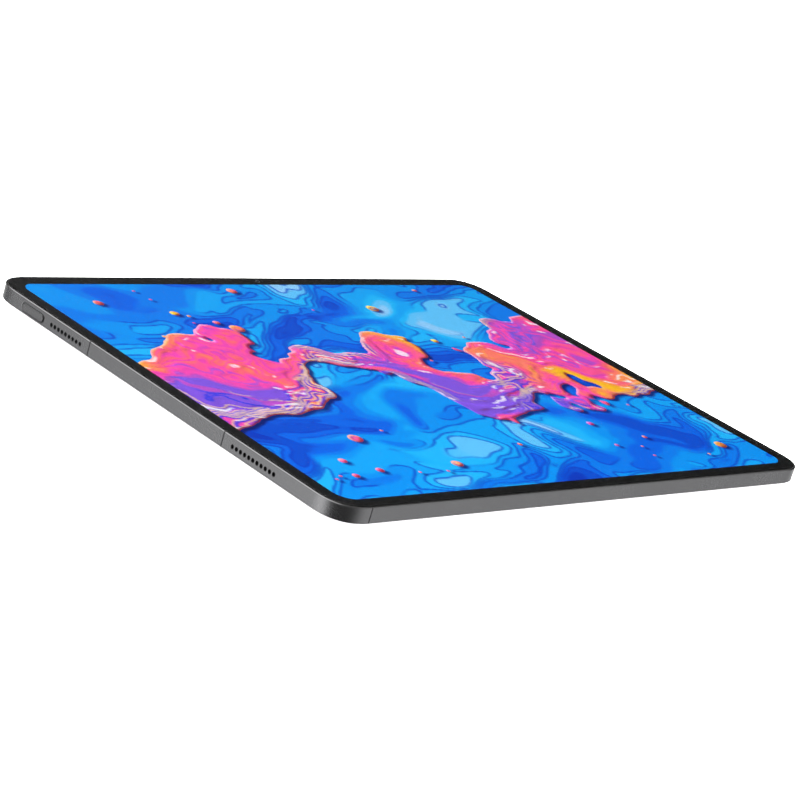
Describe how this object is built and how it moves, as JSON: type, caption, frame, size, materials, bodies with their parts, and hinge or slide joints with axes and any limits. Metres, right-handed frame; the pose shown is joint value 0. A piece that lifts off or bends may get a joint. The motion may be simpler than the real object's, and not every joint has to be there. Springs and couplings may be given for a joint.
{
  "type": "tablet computer",
  "caption": "Slim slab tablet computer with a large black-bordered touch display, a dark anodised metal shell with round corners, sprung side buttons and speaker holes in its short sides.",
  "frame": {"origin": "middle of the flat back of the housing", "axes": "+X along the long side, away from the side with the power button; +Y along the short side, towards the side with the front camera; +Z out of the display"},
  "size_m": [0.2794, 0.2131, 0.0079],
  "materials": {
    "grey_aluminium": "fine blasted and anodised, dark grey",
    "dark_plastic": "fine satin moulding",
    "black_glass": "polished, black-printed border",
    "lit_screen": "lit picture under the cover glass",
    "clear_plastic": "clear moulding",
    "steel": "rolled sheet",
    "circuit_board": "solder mask",
    "polyimide": "amber film",
    "battery_foil": "dark laminated foil",
    "black_foam": "soft black",
    "gold": "plated"
  },
  "bodies": {
    "tablet": {"rear_housing": "grey_aluminium", "antenna_strip_near": "dark_plastic", "antenna_strip_far": "dark_plastic", "glass_gasket": "black_foam", "cover_glass": "black_glass", "lcd_panel": "lit_screen", "light_guide": "clear_plastic", "led_bar": "circuit_board", "display_tray": "steel", "display_driver_board": "circuit_board", "display_flex": "polyimide", "battery_flex": "polyimide", "usb_flex": "polyimide", "power_switch": "steel", "volume_up_switch": "steel", "volume_down_switch": "steel", "power_bracket": "steel", "volume_bracket": "steel", "speaker_far_left": "dark_plastic", "speaker_far_right": "dark_plastic", "speaker_near_left": "dark_plastic", "speaker_near_right": "dark_plastic", "speaker_mesh_far_left": "steel", "speaker_mesh_far_right": "steel", "speaker_mesh_near_left": "steel", "speaker_mesh_near_right": "steel", "microphone_left": "steel", "microphone_right": "steel", "battery_cell_left": "battery_foil", "battery_cell_right": "battery_foil", "battery_board": "circuit_board", "logic_board": "circuit_board", "processor_shield": "steel", "radio_shield": "steel", "board_screw_near_left": "steel", "board_screw_far_left": "steel", "board_screw_near_right": "steel", "board_screw_far_right": "steel", "usb_board": "circuit_board", "usb_shell": "steel", "usb_tongue": "dark_plastic", "antenna_near": "polyimide", "antenna_far": "polyimide", "contact_carrier": "dark_plastic", "contact_left": "gold", "contact_middle": "gold", "contact_right": "gold", "front_camera": "dark_plastic", "light_sensor": "dark_plastic", "camera_island": "grey_aluminium", "lens_glass": "black_glass", "lens_ring": "steel", "rear_camera": "steel", "flash_lens": "clear_plastic", "flash_led": "circuit_board"},
    "power_button": {"power_button": "grey_aluminium"},
    "volume_up": {"volume_up_button": "grey_aluminium"},
    "volume_down": {"volume_down_button": "grey_aluminium"},
    "focus_barrel": {"focus_barrel": "dark_plastic"}
  },
  "joints": [
    {"name": "power_press", "type": "slide", "parent": "tablet", "child": "power_button", "axis": [1, 0, 0], "range_m": [0, 0.0003], "stiffness_N_per_m": 4000},
    {"name": "volume_up_press", "type": "slide", "parent": "tablet", "child": "volume_up", "axis": [0, -1, 0], "range_m": [0, 0.0003], "stiffness_N_per_m": 4000},
    {"name": "volume_down_press", "type": "slide", "parent": "tablet", "child": "volume_down", "axis": [0, -1, 0], "range_m": [0, 0.0003], "stiffness_N_per_m": 4000},
    {"name": "focus_travel", "type": "slide", "parent": "tablet", "child": "focus_barrel", "axis": [0, 0, -1], "range_m": [0, 0.00025], "stiffness_N_per_m": 400}
  ]
}
